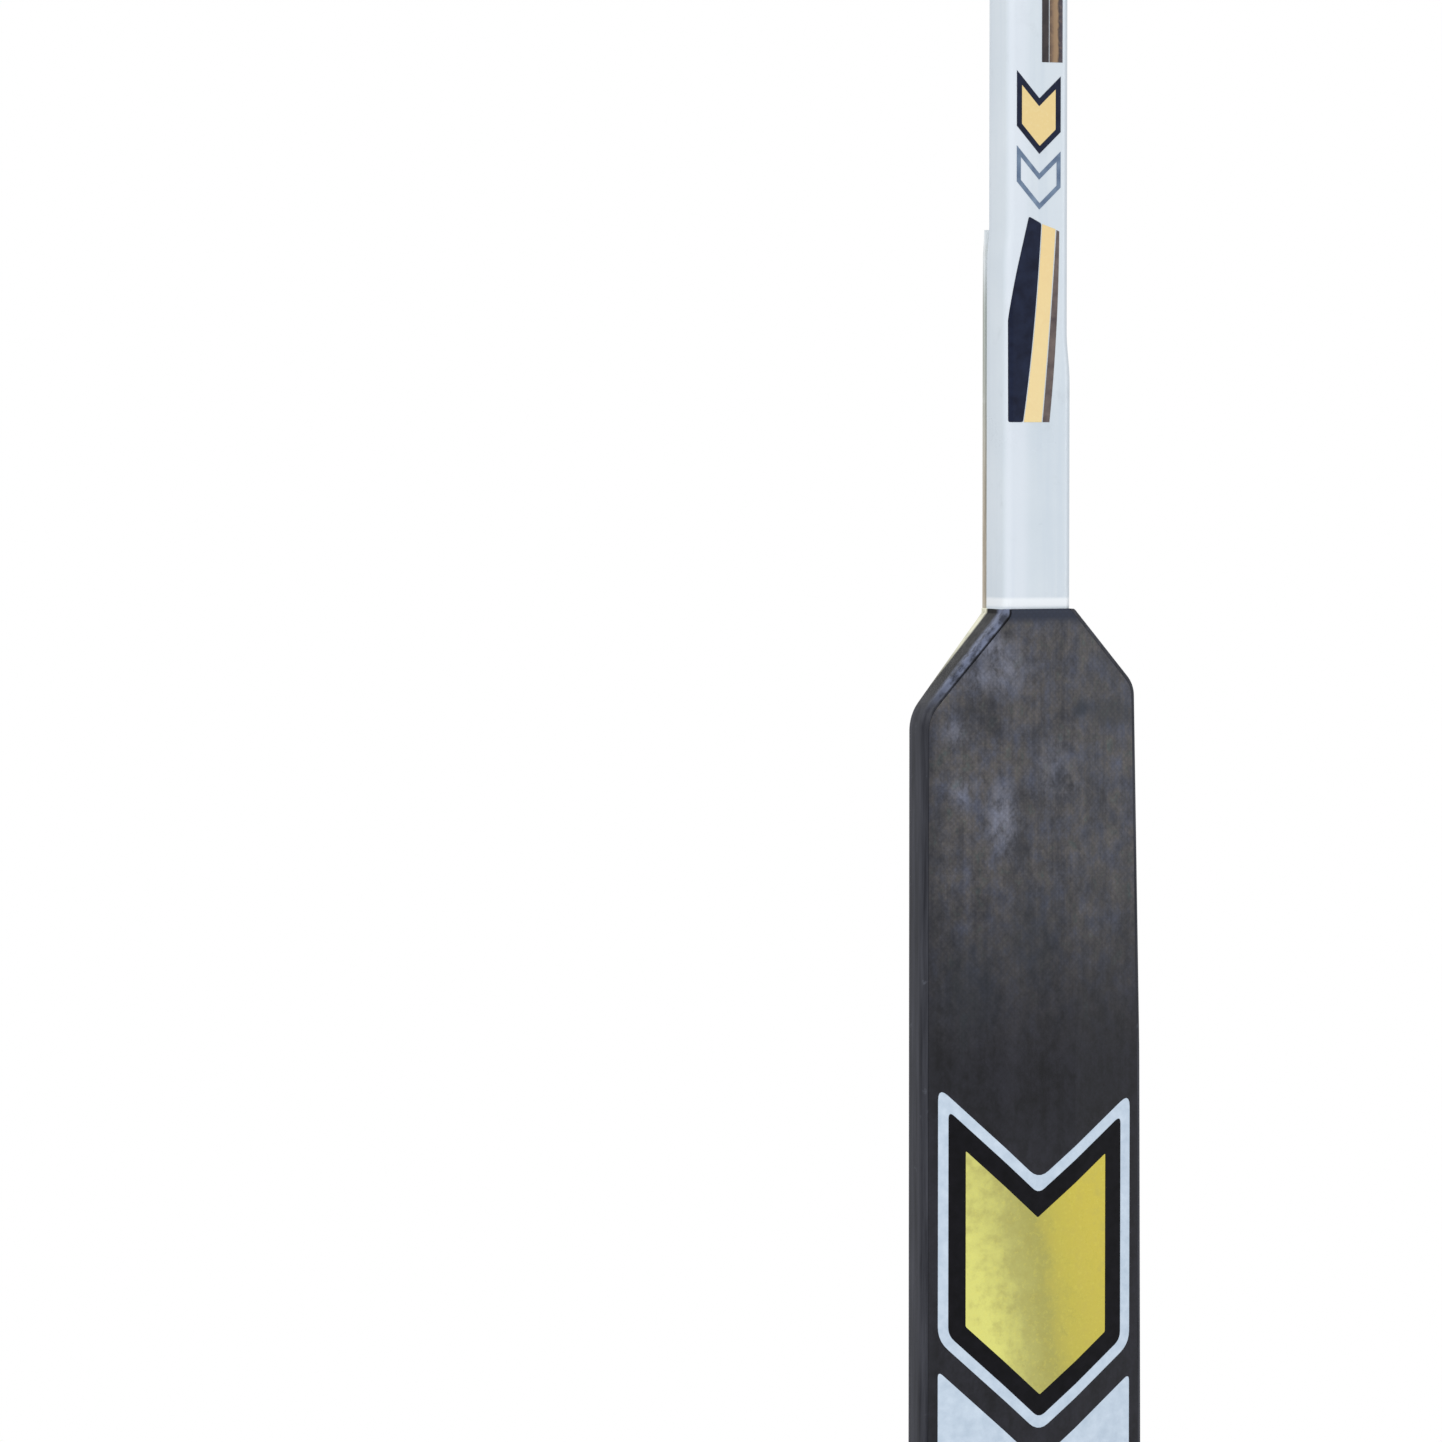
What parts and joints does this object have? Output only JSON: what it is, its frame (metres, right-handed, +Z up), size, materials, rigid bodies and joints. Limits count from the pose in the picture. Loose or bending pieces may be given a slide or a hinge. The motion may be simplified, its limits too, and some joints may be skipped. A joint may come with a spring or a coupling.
{
  "type": "ice hockey goalkeeper stick",
  "caption": "Goalkeeper's ice hockey stick: laminated wood shaft, wide foam-core paddle and curved, angled blade for stopping and playing the puck.",
  "frame": {"origin": "middle of the shaft at the height of the paddle's top edge, where the goalkeeper's blocker hand holds the stick", "axes": "+Z up the shaft to the butt end, the blade's toe towards -X, the printed front face towards -Y"},
  "size_m": [0.382, 0.0344, 1.6646],
  "materials": {
    "aspen_ply": "satin",
    "birch_ply": "satin",
    "white_paint": "gloss",
    "veneer": "matte",
    "foam": "matte",
    "graphite": "satin",
    "edge": "satin",
    "hardwood": "satin",
    "glass_rib": "satin",
    "sole": "matte",
    "navy": "gloss",
    "gold": "gloss",
    "silver": "gloss",
    "black": "gloss"
  },
  "bodies": {
    "root": {"shaft_heart_ply": "aspen_ply", "shaft_front_ply": "birch_ply", "shaft_back_ply": "birch_ply", "shaft_wrap": "white_paint", "shaft_back_doubler": "veneer", "paddle_left_foam": "foam", "paddle_right_foam": "foam", "paddle_front_skin": "graphite", "paddle_back_skin": "graphite", "paddle_left_rail": "edge", "paddle_right_rail": "edge", "blade_top_rail": "edge", "blade_toe_rail": "edge", "blade_sole_strip": "sole", "blade_heel_block": "hardwood", "blade_upper_foam": "foam", "blade_rib": "glass_rib", "blade_lower_foam": "foam", "blade_front_skin": "graphite", "blade_back_skin": "graphite", "lower_bar_left": "navy", "lower_bar_stripe": "gold", "lower_bar_right": "navy", "upper_bar_left": "navy", "upper_bar_stripe": "gold", "shaft_mark": "navy", "shaft_mark_fill": "gold", "shaft_mark_lower": "navy", "emblem_outline": "silver", "emblem_keyline": "black", "emblem_fill": "gold", "emblem_lower_band": "silver"}
  },
  "joints": []
}
